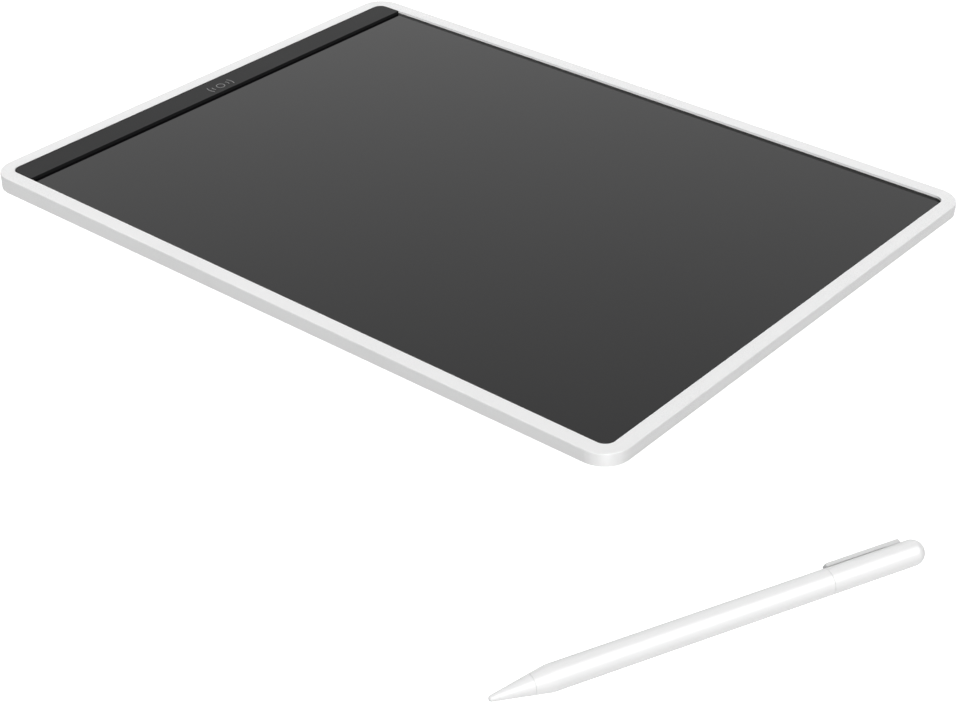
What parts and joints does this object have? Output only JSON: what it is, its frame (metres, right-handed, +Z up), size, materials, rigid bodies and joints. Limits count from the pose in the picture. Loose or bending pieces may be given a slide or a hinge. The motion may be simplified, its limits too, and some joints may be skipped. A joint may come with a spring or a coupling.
{
  "type": "lcd writing tablet with stylus",
  "caption": "Thin wedge-shaped writing slate with a sunk dark screen, a white rim and a press bar that erases it, with a clip stylus lying beside it.",
  "frame": {"origin": "centre of the slate's flat underside", "axes": "+Z up out of the underside, +Y towards the head with the erase bar, +X to the right seen from above"},
  "size_m": [0.3297, 0.3972, 0.0078],
  "materials": {
    "white_shell": "white, fine satin gloss",
    "white_back": "white, finely grained",
    "white_stylus": "white, satin gloss",
    "clip_grey": "light grey, satin gloss",
    "screen_film": "near-black, smooth and reflective",
    "black_bar": "black, fine satin",
    "mark_ink": "grey printed ink",
    "adhesive": "black double-sided tape",
    "backing_plate": "dark stiff sheet",
    "lead_film": "amber film with copper tracks",
    "circuit_board": "green solder mask",
    "component_black": "black moulded",
    "connector_white": "ivory moulded",
    "switch_metal": "pressed steel",
    "screw_steel": "plated steel",
    "cell_steel": "nickel-plated steel",
    "contact_metal": "plated spring bronze"
  },
  "bodies": {
    "tablet": {"front_frame": "white_shell", "back_cover": "white_back", "lcd_panel": "screen_film", "lcd_gasket": "adhesive", "lcd_backing": "backing_plate", "lcd_tail": "lead_film", "control_board": "circuit_board", "board_components": "component_black", "tail_connector": "connector_white", "tact_switch": "switch_metal", "lock_switch": "switch_metal", "coin_cell": "cell_steel", "cell_positive_contact": "contact_metal", "cell_negative_contact": "contact_metal", "board_screws": "screw_steel", "cover_screws": "screw_steel"},
    "erase_bar": {"erase_bar": "black_bar", "tact_plunger": "component_black"},
    "lock_slider": {"lock_slider": "white_back", "lock_lever": "component_black"},
    "battery_door": {"battery_door": "white_back", "battery_door_screw": "screw_steel"},
    "stylus": {"stylus_nib": "white_stylus", "stylus_barrel": "white_stylus", "stylus_cap": "white_stylus", "stylus_clip": "clip_grey"}
  },
  "joints": [
    {"name": "erase_press", "type": "slide", "parent": "tablet", "child": "erase_bar", "axis": [0, 0.0053, -1], "range_m": [0, 0.0003], "stiffness_N_per_m": 1500, "springref_m": -0.0003},
    {"name": "lock_slide", "type": "slide", "parent": "tablet", "child": "lock_slider", "axis": [1, 0, 0], "range_m": [0, 0.0025]},
    {"name": "door_tip", "type": "hinge", "parent": "tablet", "child": "battery_door", "pos_m": [-0.0355, 0.121, 0], "axis": [0, 1, 0], "range_deg": [0, 50]},
    {"name": "stylus_lift", "type": "slide", "parent": "tablet", "child": "stylus", "axis": [0, 0, 1], "range_m": [0, 0.1]}
  ]
}
